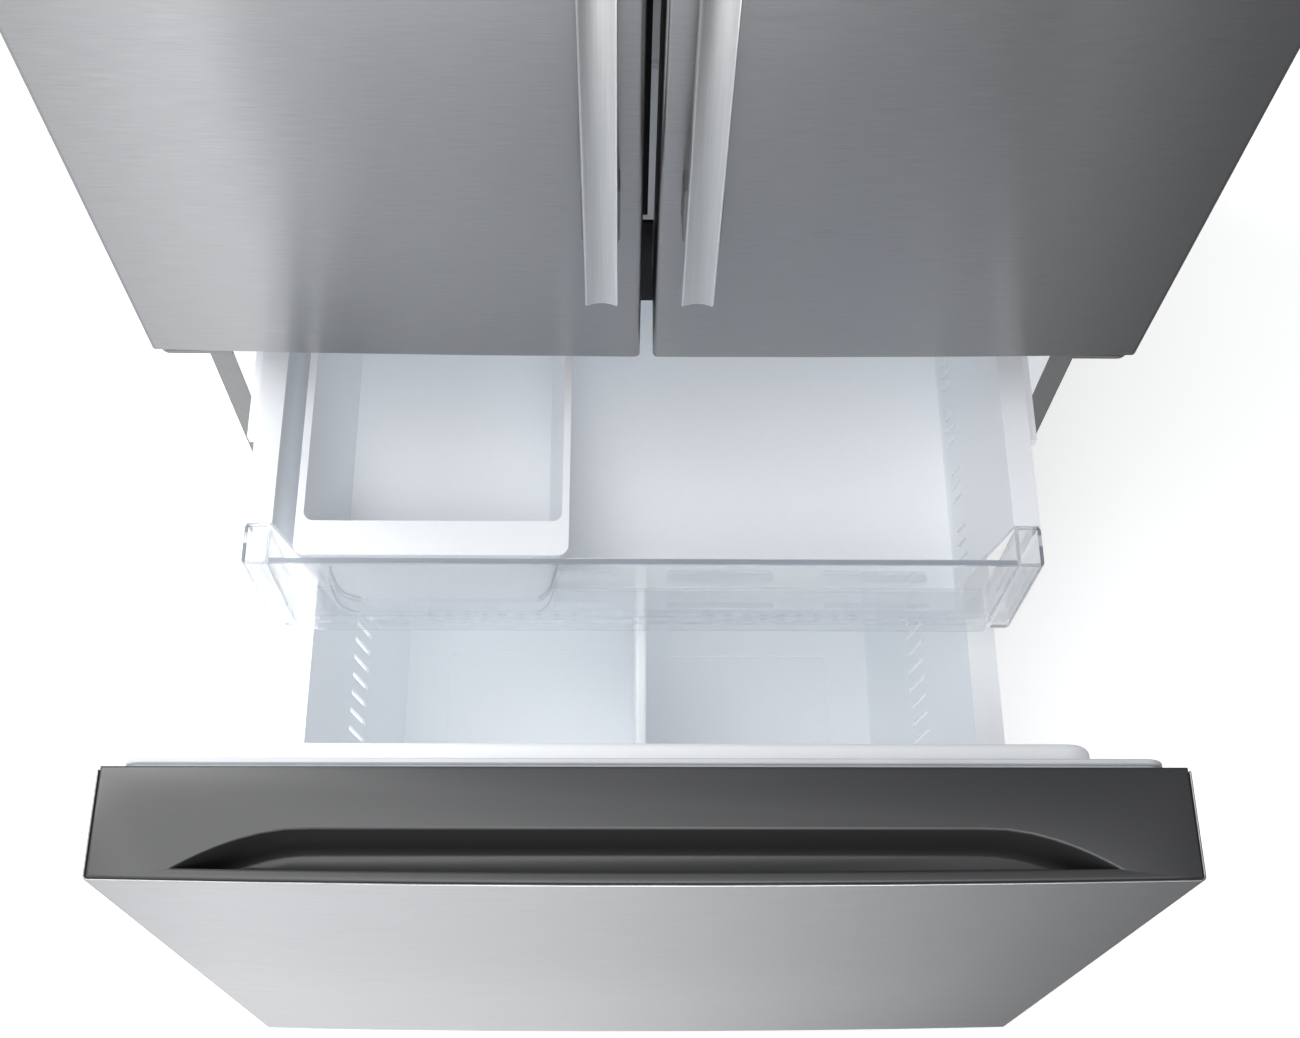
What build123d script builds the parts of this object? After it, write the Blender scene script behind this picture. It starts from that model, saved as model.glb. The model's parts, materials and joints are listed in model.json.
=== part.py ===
"""French door refrigerator with a bottom freezer drawer, as an assembly of separate pieces.

The row frame is in millimetres: +X to the right of someone facing the doors, +Y to the back, +Z up.
The origin is on the floor, midway between the pulled drawer's face and the cabinet's back.
Depths are measured backwards from the upright edges of the closed doors' faces.
The freezer drawer and the tray above it are stored pulled out, and all else is shut.
"""

from build123d import *
import math
import os

# ---------------------------------------------------------------- driving dimensions
WIDTH = 756.0  # cabinet, doors and drawer front
HALF = WIDTH / 2
BOW = 4.0  # how far the faces bulge at the middle of the width
DRAWER_OPEN = 405.0  # how far the freezer drawer is stored pulled out
TRAY_OPEN = 251.0  # and the tray above it
SLIDE_SHARE = 0.5  # the telescopic slides' middle members move half as far as the drawer

CASE_FRONT = 90.0  # depths of the cabinet's front rim and back edge
CASE_BACK = 818.0
CASE_BOTTOM, CASE_TOP = 40.0, 1743.0
SHEET = 2.0  # cabinet sheet metal
RIM = 21.0  # width of the sheet's folded front rim

DOOR_BOTTOM, DOOR_TOP = 712.5, 1735.0
DRAWER_BOTTOM, DRAWER_TOP = 50.0, 703.0
DOOR_GAP = 5.0  # from the middle to each door's free edge
DOOR_BACK = 80.0  # depth of the door's and drawer front's back plane
SKIN = 1.5  # stainless sheet on the doors
LINER_PLATE = 3.0
CAP = 18.0  # height of the door's end caps
SEAL_INSET = 12.0  # gasket's distance from the door's edges
HINGE_SIDE_INSET = 23.0  # it sits further in beside a hinge, to swing clear of the cabinet's rim
SEAL_BACK = 89.5

INNER = 336.0  # half the width inside both compartments
WALL = 3.0  # plastic liner
FRIDGE_FLOOR, FRIDGE_ROOF, FRIDGE_BACK = 755.0, 1695.0, 770.0
FREEZER_FLOOR, FREEZER_ROOF, FREEZER_BACK = 95.0, 645.0, 700.0
STEP_Z, STEP_BACK = 375.0, 570.0  # the freezer floor's step over the machine room
MACHINE_FRONT, MACHINE_TOP = 620.0, 330.0

PIN_X, PIN_DEPTH, PIN_R = 356.0, 50.0, 5.0  # door hinge axis
RUNNING = 0.06  # radial clearance of a pin in its hole

FRONT_REACH = -DRAWER_OPEN - BOW
BACK_REACH = 822.0
DOOR_Y = -(FRONT_REACH + BACK_REACH) / 2  # puts the origin midway between the two


# ---------------------------------------------------------------- helpers
def deep(depth, pulled=0.0):
    """The y of a depth behind the doors' face, on a piece pulled out by an amount."""
    return DOOR_Y + depth - pulled


def span(low, high, pulled=0.0):
    return deep(low, pulled), deep(high, pulled)


def sided(side, inner, outer):
    """Limits in x of something between two distances from the middle, on one side."""
    return tuple(sorted((side * inner, side * outer)))


def block(x, y, z, mode=Mode.ADD):
    """A box between the limits x, y and z."""
    with Locations(((x[0] + x[1]) / 2, (y[0] + y[1]) / 2, (z[0] + z[1]) / 2)):
        Box(x[1] - x[0], y[1] - y[0], z[1] - z[0], mode=mode)


def tunnel(x, y, z, radius, mode=Mode.ADD):
    """A bar along Y between the limits, with its four long edges rounded."""
    with BuildSketch(Plane.XZ.offset(-y[1])) as section:
        with Locations(((x[0] + x[1]) / 2, (z[0] + z[1]) / 2)):
            RectangleRounded(x[1] - x[0], z[1] - z[0], radius)
    extrude(section.sketch, amount=y[1] - y[0], mode=mode)


def tapered(top, bottom, z, radius, mode=Mode.ADD):
    """A bin's solid between a rectangle at the bottom and one at the top, each (x, y)."""
    sections = []
    for (x, y), height in ((bottom, z[0]), (top, z[1])):
        with BuildSketch(Plane.XY.offset(height)) as section:
            with Locations(((x[0] + x[1]) / 2, (y[0] + y[1]) / 2)):
                RectangleRounded(x[1] - x[0], y[1] - y[0], radius)
        sections.append(section.sketch.faces()[0])
    loft(sections, mode=mode)


def rod(start, end, radius, mode=Mode.ADD):
    """A round bar between two points that share two coordinates."""
    a, b = Vector(*start), Vector(*end)
    with Locations(Plane(origin=a, z_dir=b - a)):
        align = (Align.CENTER, Align.CENTER, Align.MIN)
        Cylinder(radius, (b - a).length, align=align, mode=mode)


def bowed_outline(x, z, inset, back, corner, pulled=0.0):
    """The plan of a door at height z: a bowed front, its front corners rounded, cut at back."""
    x_low, x_high = x[0] + inset, x[1] - inset
    middle = (x_low + x_high) / 2

    def face(at):
        return deep(inset, pulled) - BOW * (1 - (at / HALF) ** 2)

    with BuildSketch(Plane.XY.offset(z)) as outline:
        with BuildLine():
            front = ThreePointArc(
                (x_low, face(x_low)), (middle, face(middle)), (x_high, face(x_high))
            )
            rear = deep(back, pulled)
            Polyline(front @ 1, (x_high, rear), (x_low, rear), front @ 0)
        make_face()
        fillet(outline.vertices().sort_by(Axis.Y)[:2], corner)
    return outline.sketch


def ring(x, y, z, width, mode=Mode.ADD):
    """A flat frame in the XZ plane, width wide inside its outer limits."""
    block(x, y, z, mode)
    block((x[0] + width, x[1] - width), y, (z[0] + width, z[1] - width), Mode.SUBTRACT)


def save(piece, name):
    piece.part.label = name
    export_step(piece.part, f"parts/{name}.step")


os.makedirs("parts", exist_ok=True)

# ================================================================ cabinet
with BuildPart() as outer_case:  # sides, top and folded front rim in one sheet
    block((-HALF, HALF), span(CASE_FRONT, CASE_BACK), (CASE_BOTTOM, CASE_TOP))
    front_edges = outer_case.edges().filter_by(Axis.Z).group_by(Axis.Y)[0]
    top_edges = outer_case.edges().filter_by(Axis.Y).group_by(Axis.Z)[-1]
    fillet(front_edges + top_edges, 1.5)
    inside = (-HALF + SHEET, HALF - SHEET)
    inner_top = (CASE_BOTTOM, CASE_TOP - SHEET)
    block(inside, span(CASE_FRONT + SHEET, CASE_BACK), inner_top, Mode.SUBTRACT)
    window = (-HALF + RIM, HALF - RIM)
    window_z = (CASE_BOTTOM, CASE_TOP - 25)
    block(window, span(CASE_FRONT, CASE_FRONT + SHEET), window_z, Mode.SUBTRACT)
save(outer_case, "outer_case")

with BuildPart() as back_panel:  # pressed steel with stiffening ribs
    back_z = (MACHINE_TOP + 2, CASE_TOP - SHEET)
    block((-HALF + 2, HALF - 2), span(CASE_BACK, CASE_BACK + 1.5), back_z)
    for rib_x in (-240, 0, 240):
        rib = (rib_x - 45, rib_x + 45)
        rib_z = (back_z[0] + 120, back_z[1] - 120)
        tunnel(rib, span(CASE_BACK + 1.5, CASE_BACK + 4), rib_z, 40)
save(back_panel, "back_panel")

LINER_OUT = INNER + WALL
with BuildPart() as insulation:  # foam between the sheet and the two liners
    foam_x = (-HALF + SHEET, HALF - SHEET)
    foam_z = (CASE_BOTTOM + SHEET, CASE_TOP - SHEET)
    block(foam_x, span(CASE_FRONT + 3, CASE_BACK), foam_z)
    liner_x = (-LINER_OUT, LINER_OUT)
    fridge_z = (FRIDGE_FLOOR - WALL, FRIDGE_ROOF + WALL)
    freezer_z = (FREEZER_FLOOR - WALL, FREEZER_ROOF + WALL)
    upper_z = (STEP_Z - WALL, FREEZER_ROOF + WALL)
    start = CASE_FRONT + 3
    tunnel(liner_x, span(start, FRIDGE_BACK + WALL), fridge_z, 21, Mode.SUBTRACT)
    block(liner_x, span(start, STEP_BACK + WALL), freezer_z, Mode.SUBTRACT)
    block(liner_x, span(start, FREEZER_BACK + WALL), upper_z, Mode.SUBTRACT)
    room_z = (CASE_BOTTOM + SHEET, MACHINE_TOP)
    block(foam_x, span(MACHINE_FRONT, CASE_BACK), room_z, Mode.SUBTRACT)
save(insulation, "insulation")

SHELF_LEVELS = ((-1, 1310.0), (1, 1370.0), (-1, 1490.0), (1, 1545.0))  # side and height
LID_LEVELS = (875.0, 1108.0)  # glass over the pantry drawer and over the crispers
SHELF_FRONT, SHELF_BACK, SHELF_THICK = 232.0, 738.0, 11.0

with BuildPart() as fridge_liner:
    tunnel(liner_x, span(start, FRIDGE_BACK + WALL), fridge_z, 21)
    inner_x = (-INNER, INNER)
    inner_z = (FRIDGE_FLOOR, FRIDGE_ROOF)
    tunnel(inner_x, span(start, FRIDGE_BACK), inner_z, 18, Mode.SUBTRACT)
    block(window, span(CASE_FRONT, start), (FRIDGE_FLOOR, CASE_TOP - 25))
    tunnel(inner_x, span(CASE_FRONT, start), inner_z, 18, Mode.SUBTRACT)
    for side, level in SHELF_LEVELS + tuple((s, z) for s in (-1, 1) for z in LID_LEVELS):
        ledge = sided(side, INNER - 7, INNER)
        block(ledge, span(SHELF_FRONT + 6, SHELF_BACK - 30), (level - 9, level))
save(fridge_liner, "fridge_liner")

GUIDE_Z = 560.0  # the tray's runners travel just above this ledge
GUIDE_FRONT = 121.0
with BuildPart() as freezer_liner:  # with the tray's moulded guides
    block(liner_x, span(start, STEP_BACK + WALL), freezer_z)
    block(liner_x, span(start, FREEZER_BACK + WALL), upper_z)
    block(inner_x, span(start, STEP_BACK), (FREEZER_FLOOR, FREEZER_ROOF), Mode.SUBTRACT)
    block(inner_x, span(start, FREEZER_BACK), (STEP_Z, FREEZER_ROOF), Mode.SUBTRACT)
    for side in (-1, 1):
        flange = sided(side, INNER, HALF - RIM)
        block(flange, span(CASE_FRONT, start), (FREEZER_FLOOR, FREEZER_ROOF))
        for low in (GUIDE_Z - 5, GUIDE_Z + 17):
            block(sided(side, INNER - 14, INNER), span(GUIDE_FRONT, 610), (low, low + 5))
save(freezer_liner, "freezer_liner")

with BuildPart() as centre_rail:  # painted strip between the two compartments
    rail_z = (FREEZER_ROOF, FRIDGE_FLOOR)
    block(window, span(CASE_FRONT, start), rail_z)
save(centre_rail, "centre_rail")

ROLLER_X, ROLLER_DEPTH, ROLLER_R, ROLLER_WIDE = 320.0, 740.0, 19.0, 18.0
AXLE_R = 4.0
with BuildPart() as base_pan:  # floor of the machine room, with the rollers' brackets
    plate_z = (CASE_BOTTOM, CASE_BOTTOM + SHEET)
    block(foam_x, span(CASE_FRONT + SHEET, CASE_BACK), plate_z)
    block(window, span(CASE_FRONT, start), (CASE_BOTTOM, FREEZER_FLOOR))
    for side in (-1, 1):
        for cheek in (ROLLER_X - 13, ROLLER_X + 11):
            cheek_y = span(ROLLER_DEPTH - 18, ROLLER_DEPTH + 18)
            block(sided(side, cheek, cheek + 2), cheek_y, (12, CASE_BOTTOM))
        axle_y = deep(ROLLER_DEPTH)
        ends = [(side * (ROLLER_X + e), axle_y, ROLLER_R) for e in (-15, 15)]
        rod(ends[0], ends[1], AXLE_R)
save(base_pan, "base_pan")

with BuildPart() as rear_rollers:
    for side in (-1, 1):
        wide = ROLLER_WIDE / 2
        ends = [(side * ROLLER_X + e, deep(ROLLER_DEPTH), ROLLER_R) for e in (-wide, wide)]
        rod(ends[0], ends[1], ROLLER_R)
    rims = rear_rollers.edges().filter_by(GeomType.CIRCLE)
    chamfer(rims, 1.5)
    for side in (-1, 1):
        ends = [(side * ROLLER_X + e, deep(ROLLER_DEPTH), ROLLER_R) for e in (-wide, wide)]
        rod(ends[0], ends[1], AXLE_R + RUNNING, Mode.SUBTRACT)
save(rear_rollers, "rear_rollers")

FOOT_X, FOOT_DEPTH = 330.0, 135.0
with BuildPart() as levelling_feet:
    for side in (-1, 1):
        x, y = side * FOOT_X, deep(FOOT_DEPTH)
        rod((x, y, 0), (x, y, 10), 20)
        with BuildSketch(Plane.XY.offset(10)) as nut:
            with Locations((x, y)):
                RegularPolygon(12, 6)
        extrude(nut.sketch, amount=9)
        rod((x, y, 19), (x, y, CASE_BOTTOM), 7)
save(levelling_feet, "levelling_feet")

with BuildPart() as toe_grille:
    block((-366, 366), span(58, 62), (10, 46))
    block((-366, 366), span(62, CASE_FRONT), (42, 46))
    for side in (-1, 1):
        block(sided(side, 362, 366), span(62, CASE_FRONT), (10, 42))
    with Locations((0, deep(60), 25)):
        with GridLocations(48, 1, 14, 1):
            Box(36, 8, 5, mode=Mode.SUBTRACT)
    with Locations((0, deep(60), 34)):
        with GridLocations(48, 1, 14, 1):
            Box(36, 8, 5, mode=Mode.SUBTRACT)
save(toe_grille, "toe_grille")

# ---------------------------------------------------------------- hinges
HINGE_PLATE = 3.5
with BuildPart() as top_hinges:
    for side in (-1, 1):
        plate_x = sided(side, 306, 372)
        block(plate_x, span(30, 150), (CASE_TOP, CASE_TOP + HINGE_PLATE))
        x, y = side * PIN_X, deep(PIN_DEPTH)
        rod((x, y, DOOR_TOP - 14), (x, y, CASE_TOP), PIN_R)
save(top_hinges, "top_hinges")

with BuildPart() as top_hinge_covers:
    for side in (-1, 1):
        cover_z = (CASE_TOP, CASE_TOP + 26)
        block(sided(side, 298, 377), span(18, 192), cover_z)
    upright = top_hinge_covers.edges().filter_by(Axis.Z)
    fillet(upright, 12)
    fillet(top_hinge_covers.faces().group_by(Axis.Z)[-1].edges(), 5)
    for side in (-1, 1):
        block(sided(side, 301, 374), span(21, 189), (CASE_TOP, CASE_TOP + 22), Mode.SUBTRACT)
save(top_hinge_covers, "top_hinge_covers")

LEAF = 4.5
LEAF_Z = DRAWER_TOP + 1.5
with BuildPart() as middle_hinges:  # leaf under each door, its pin, and the plate on the rail
    for side in (-1, 1):
        leaf_x = sided(side, 318, 375)
        block(leaf_x, span(1.5, 86.5), (LEAF_Z, LEAF_Z + LEAF))
        outer = middle_hinges.edges().filter_by(Axis.Z).group_by(Axis.Y)[0]
        outer = outer.filter_by_position(Axis.X, side * 375 - 1, side * 375 + 1)
        fillet(outer, 10)
        block(leaf_x, span(86.5, CASE_FRONT), (694, DOOR_BOTTOM - 1.5))
        x, y = side * PIN_X, deep(PIN_DEPTH)
        rod((x, y, LEAF_Z + LEAF), (x, y, DOOR_BOTTOM + 14), PIN_R)
        rod((x, y, LEAF_Z + LEAF), (x, y, DOOR_BOTTOM - 0.5), 9)
save(middle_hinges, "middle_hinges")

with BuildPart() as hinge_screws:
    for side in (-1, 1):
        for x in (318, 360):
            for depth in (105, 135):
                top = CASE_TOP + HINGE_PLATE
                rod((side * x, deep(depth), top), (side * x, deep(depth), top + 4), 5.5)
        for x in (328, 346, 364):
            rod((side * x, deep(86.5), 698.5), (side * x, deep(84), 698.5), 4)
save(hinge_screws, "hinge_screws")

# ---------------------------------------------------------------- machine room
with BuildPart() as compressor:
    centre_x, centre_y = 170.0, deep(718)
    rod((centre_x, centre_y, 58), (centre_x, centre_y, 215), 72)
    fillet(compressor.edges().filter_by(GeomType.CIRCLE), 34)
    rod((centre_x, centre_y, 132), (centre_x, centre_y, 140), 76)
    block((centre_x - 95, centre_x + 95), (centre_y - 50, centre_y + 50), (52, 60))
    for x in (-80, 80):
        for y in (-36, 36):
            rod((centre_x + x, centre_y + y, CASE_BOTTOM + SHEET), (centre_x + x, centre_y + y, 66), 11)
    rod((centre_x - 90, centre_y + 20, 170), (centre_x, centre_y + 20, 170), 5)
    block((centre_x + 60, centre_x + 95), (centre_y - 22, centre_y + 22), (105, 165))
save(compressor, "compressor")


def fin_coil(x, y, z, rows, columns, fins, tube=4.0):
    """Parallel tubes along X through a stack of thin fins."""
    pitch = (x[1] - x[0]) / (fins - 1)
    for i in range(fins):
        at = x[0] + i * pitch
        block((at - 0.6, at + 0.6), y, z)
    for row in range(rows):
        for column in range(columns):
            ty = y[0] + (column + 0.5) * (y[1] - y[0]) / columns
            tz = z[0] + (row + 0.5) * (z[1] - z[0]) / rows
            rod((x[0] - 12, ty, tz), (x[1] + 12, ty, tz), tube)
    for end in (x[0] - 12, x[1] + 12):
        block((end - 3, end + 3), (y[0] + 4, y[1] - 4), (z[0] + 4, z[1] - 4))


with BuildPart() as condenser:
    fin_coil((-320, -130), span(650, 790), (62, 212), 4, 3, 20)
    block((-338, -112), span(650, 790), (CASE_BOTTOM + SHEET, 62))
save(condenser, "condenser")


def fan_blades(axis_point, direction, radius, hub, wide):
    """A hub with six pitched blades, turning about direction through axis_point."""
    plane = Plane(origin=axis_point, z_dir=direction)
    with Locations(plane):
        Cylinder(hub, wide)
        with PolarLocations((hub + radius) / 2 - 2, 6):
            Box(radius - hub + 4, wide * 0.9, 1.6, rotation=(28, 0, 0))


FAN_X, FAN_Z, FAN_R = -66.0, 137.0, 58.0
with BuildPart() as fan_shroud:  # ring plate and the motor that it carries on three struts
    block((-100, -97), span(645, 795), (CASE_BOTTOM + SHEET, 222))
    rod((-100, deep(718), FAN_Z), (-97, deep(718), FAN_Z), FAN_R + 6, Mode.SUBTRACT)
    for z in (64, 210):
        block((-97, -22), span(714, 722), (z, z + 6))
    block((-28, -22), span(714, 722), (64, 216))
    rod((-44, deep(718), FAN_Z), (-22, deep(718), FAN_Z), 22)
    rod((-44, deep(718), FAN_Z), (-30, deep(718), FAN_Z), 3 + RUNNING, Mode.SUBTRACT)
save(fan_shroud, "fan_shroud")

with BuildPart() as condenser_fan:
    fan_blades((FAN_X, deep(718), FAN_Z), (1, 0, 0), FAN_R, 16, 20)
    rod((FAN_X, deep(718), FAN_Z), (-31, deep(718), FAN_Z), 3)
save(condenser_fan, "condenser_fan")

VALVE_X, VALVE_Z, VALVE_R = 300.0, 285.0, 5.55
CORD_X, CORD_Z = 250.0, 110.0  # grommet that the power cord would leave through
with BuildPart() as machine_cover:  # louvred board over the machine room
    block((-HALF + 4, HALF - 4), span(CASE_BACK, CASE_BACK + 1.5), (44, MACHINE_TOP))
    with Locations((-90, deep(CASE_BACK), 150)):
        with GridLocations(56, 1, 8, 1):
            for row in range(9):
                with Locations((0, 0, (row - 4) * 18)):
                    Box(44, 8, 6, mode=Mode.SUBTRACT)
    valve_window = (VALVE_X - 26, VALVE_X + 26)
    window_rows = (VALVE_Z - 26, VALVE_Z + 26)
    block(valve_window, span(CASE_BACK - 2, CASE_BACK + 3), window_rows, Mode.SUBTRACT)
    gland = [(CORD_X, deep(depth), CORD_Z) for depth in (CASE_BACK - 6, CASE_BACK + 3.5)]
    rod(gland[0], gland[1], 10)
    rod(gland[0], gland[1], 4.2, Mode.SUBTRACT)
save(machine_cover, "machine_cover")

with BuildPart() as water_valve:  # the stub takes a 1/4 inch compression nut
    block((VALVE_X - 22, VALVE_X + 22), span(770, 800), (VALVE_Z - 20, MACHINE_TOP))
    rod((VALVE_X, deep(740), VALVE_Z), (VALVE_X, deep(770), VALVE_Z), 14)
    rod((VALVE_X, deep(800), VALVE_Z), (VALVE_X, deep(808), VALVE_Z), 9)
    rod((VALVE_X, deep(808), VALVE_Z), (VALVE_X, deep(BACK_REACH), VALVE_Z), VALVE_R)
    rod((VALVE_X, deep(795), VALVE_Z), (VALVE_X, deep(BACK_REACH), VALVE_Z), 3.2, Mode.SUBTRACT)
save(water_valve, "water_valve")

# ---------------------------------------------------------------- freezer's cooling and ice maker
with BuildPart() as evaporator:
    fin_coil((-270, 270), span(645, 695), (385, 515), 5, 2, 37)
save(evaporator, "evaporator")

FREEZER_FAN_Z = 586.0
COVER_DEPTH = 630.0
with BuildPart() as evaporator_cover:
    block((-334, 334), span(COVER_DEPTH, COVER_DEPTH + 4), (STEP_Z + 1, FREEZER_ROOF - 1))
    for row in range(7):
        at = (0, deep(COVER_DEPTH), FREEZER_FAN_Z - 36 + row * 12)
        with Locations(at):
            Box(2 * math.sqrt(44**2 - (row * 12 - 36) ** 2), 12, 6, mode=Mode.SUBTRACT)
    with Locations((0, deep(COVER_DEPTH), 400)):
        with GridLocations(36, 1, 16, 1):
            Box(26, 12, 10, mode=Mode.SUBTRACT)
    rod((0, deep(674), FREEZER_FAN_Z), (0, deep(698), FREEZER_FAN_Z), 20)
    rod((0, deep(674), FREEZER_FAN_Z), (0, deep(686), FREEZER_FAN_Z), 3 + RUNNING, Mode.SUBTRACT)
    for side in (-1, 1):
        block(sided(side, 56, 60), span(COVER_DEPTH + 4, 698), (FREEZER_FAN_Z - 5, FREEZER_FAN_Z + 5))
        block(sided(side, 15, 60), span(690, 698), (FREEZER_FAN_Z - 5, FREEZER_FAN_Z + 5))
save(evaporator_cover, "evaporator_cover")

with BuildPart() as freezer_fan:
    fan_blades((0, deep(654), FREEZER_FAN_Z), (0, 1, 0), 42, 12, 16)
    rod((0, deep(654), FREEZER_FAN_Z), (0, deep(685), FREEZER_FAN_Z), 3)
save(freezer_fan, "freezer_fan")

with BuildPart() as ice_maker:
    tunnel((-284, -66), span(380, 600), (607, FREEZER_ROOF), 5)
    block((-276, -74), span(390, 590), (607, 632), Mode.SUBTRACT)
    for cell in range(6):
        y = 402 + cell * 30
        block((-262, -88), span(y, y + 24), (614, 632))
    block((-60, -40), span(400, 520), (612, FREEZER_ROOF))
save(ice_maker, "ice_maker")

# ---------------------------------------------------------------- fresh food compartment
with BuildPart() as air_duct_cover:
    tunnel((-130, 130), span(744, FRIDGE_BACK), (905, 1650), 14)
    for z in range(1000, 1620, 90):
        for side in (-1, 1):
            block(sided(side, 40, 110), span(742, 752), (z, z + 7), Mode.SUBTRACT)
            block(sided(side, 40, 110), span(742, 752), (z + 16, z + 23), Mode.SUBTRACT)
save(air_duct_cover, "air_duct_cover")

with BuildPart() as light_cover:
    tunnel((-150, 150), span(250, 350), (1681, FRIDGE_ROOF), 6)
save(light_cover, "light_cover")

shelf_x = {-1: (-INNER + 2, -3), 1: (3, INNER - 2), 0: (-INNER + 2, INNER - 2)}
all_shelves = SHELF_LEVELS + tuple((0, z) for z in LID_LEVELS)
GLASS_EDGE = 10.0  # how far the glass lies inside the frame
with BuildPart() as shelf_frames:
    for side, level in all_shelves:
        x, z = shelf_x[side], (level, level + SHELF_THICK)
        front = SHELF_FRONT if side else SHELF_FRONT - 6
        block(x, span(front, SHELF_BACK), z)
    fillet(shelf_frames.edges().filter_by(Axis.X).group_by(Axis.Y)[0], 2)
    for side, level in all_shelves:
        x, front = shelf_x[side], SHELF_FRONT
        hole = (x[0] + 14, x[1] - 14)
        block(hole, span(front + 24, SHELF_BACK - 14), (level, level + 15), Mode.SUBTRACT)
        seat = (hole[0] - GLASS_EDGE, hole[1] + GLASS_EDGE)
        seat_z = (level + SHELF_THICK - 4, level + 15)
        seat_y = span(front + 14, SHELF_BACK - 4)
        block(seat, seat_y, seat_z, Mode.SUBTRACT)
    post_z = (LID_LEVELS[0] + SHELF_THICK, LID_LEVELS[1] - 0.5)
    block((-4, 4), span(SHELF_FRONT + 20, SHELF_BACK - 20), post_z)
save(shelf_frames, "shelf_frames")

with BuildPart() as shelf_glass:
    for side, level in all_shelves:
        x = shelf_x[side]
        pane = (x[0] + 14 - GLASS_EDGE, x[1] - 14 + GLASS_EDGE)
        pane_z = (level + SHELF_THICK - 4, level + SHELF_THICK)
        block(pane, span(SHELF_FRONT + 14, SHELF_BACK - 4), pane_z)
save(shelf_glass, "shelf_glass")


def food_drawer(x, z, front, back, wall=2.5):
    """An open box with sloping ends and a grip along its front's top edge."""
    grip_y = span(front - 3, front + 22)
    outer = ((x[0], x[1]), span(front, back))
    foot = ((x[0] + 6, x[1] - 6), span(front + 6, back - 10))
    hollow = ((x[0] + wall, x[1] - wall), span(front + wall, back - wall))
    hollow_foot = ((x[0] + 6 + wall, x[1] - 6 - wall), span(front + 6 + wall, back - 10 - wall))
    tapered(outer, foot, z, 10)
    block((x[0] + 12, x[1] - 12), grip_y, (z[1] - 5, z[1]))
    tapered(hollow, hollow_foot, (z[0] + wall, z[1] + 0.01), 8, Mode.SUBTRACT)
    block((x[0] + 12, x[1] - 12), span(front, front + 14), (z[1] - 5, z[1]))


for side, name in ((-1, "crisper_left"), (1, "crisper_right")):
    with BuildPart() as crisper:
        food_drawer(sided(side, 9, 322), (892, 1100), 232, 690)
    save(crisper, name)

with BuildPart() as pantry_drawer:
    food_drawer((-322, 322), (761, 866), 228, 700)
save(pantry_drawer, "pantry_drawer")

# ================================================================ doors
BIN_LEVELS = (790.0, 1090.0, 1390.0)
BIN_TALL = (135.0, 120.0, 110.0)
BIN_BACK, BIN_WALL = 178.0, 3.0
FREE_EDGE = 62.0  # the door's raised inner panel stops this far from the middle
HINGE_EDGE = 329.0
POST_BACK = 132.0  # depth of the two upright ribs that hold the bins
FLAP_AXIS_X, FLAP_AXIS_DEPTH = -43.0, 93.5


def gasket(x, z, pulled=0.0):
    """A bellows frame: a foot on the door, a narrow waist and the magnetic head."""
    for inset, depths in ((0, (80, 82.5)), (3, (82.5, 85)), (0, (85, SEAL_BACK))):
        limits = (x[0] + inset, x[1] - inset), span(*depths, pulled), (z[0] + inset, z[1] - inset)
        with BuildPart(mode=Mode.PRIVATE) as layer:
            ring(*limits, 12 - 2 * inset)
        add(layer.part)


def door_bore(side, z):
    x, y = side * PIN_X, deep(PIN_DEPTH)
    rod((x, y, z[0]), (x, y, z[1]), PIN_R + RUNNING, Mode.SUBTRACT)


HANDLE_IN, HANDLE_OUT = 21.5, 43.5
HANDLE_LOW, HANDLE_HIGH = 857.0, 1600.0
HANDLE_FACE, HANDLE_BACK_DEPTH = -50.0, -38.0
POST_HIGH, POST_LOW = 70.0, 45.0


def handle(side):
    """A bar with a hollow front face, on two feet that taper towards the door."""
    inner, outer = side * HANDLE_IN, side * HANDLE_OUT
    middle = (inner + outer) / 2
    with BuildSketch(Plane.XY.offset(HANDLE_LOW)) as section:
        with BuildLine():
            face = ThreePointArc(
                (inner, deep(HANDLE_FACE)), (middle, deep(HANDLE_FACE + 2)), (outer, deep(HANDLE_FACE))
            )
            back = deep(HANDLE_BACK_DEPTH)
            Polyline(face @ 1, (outer - side, back), (inner + side, back), face @ 0)
        make_face()
    extrude(section.sketch, amount=HANDLE_HIGH - HANDLE_LOW)
    for foot, sign in ((HANDLE_LOW + POST_HIGH, 1), (HANDLE_HIGH - POST_HIGH, -1)):
        with BuildSketch(Plane.YZ.offset(side * (HANDLE_IN - 1.5))) as profile:
            with BuildLine():
                near, far = deep(HANDLE_BACK_DEPTH), deep(-BOW)
                Polyline(
                    (near, foot + sign * POST_LOW),
                    (far, foot + sign * 20),
                    (far, foot - sign * 30),
                    (near, foot - sign * 10),
                    close=True,
                )
            make_face()
        extrude(profile.sketch, amount=side * (HANDLE_OUT - HANDLE_IN + 3))


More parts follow.
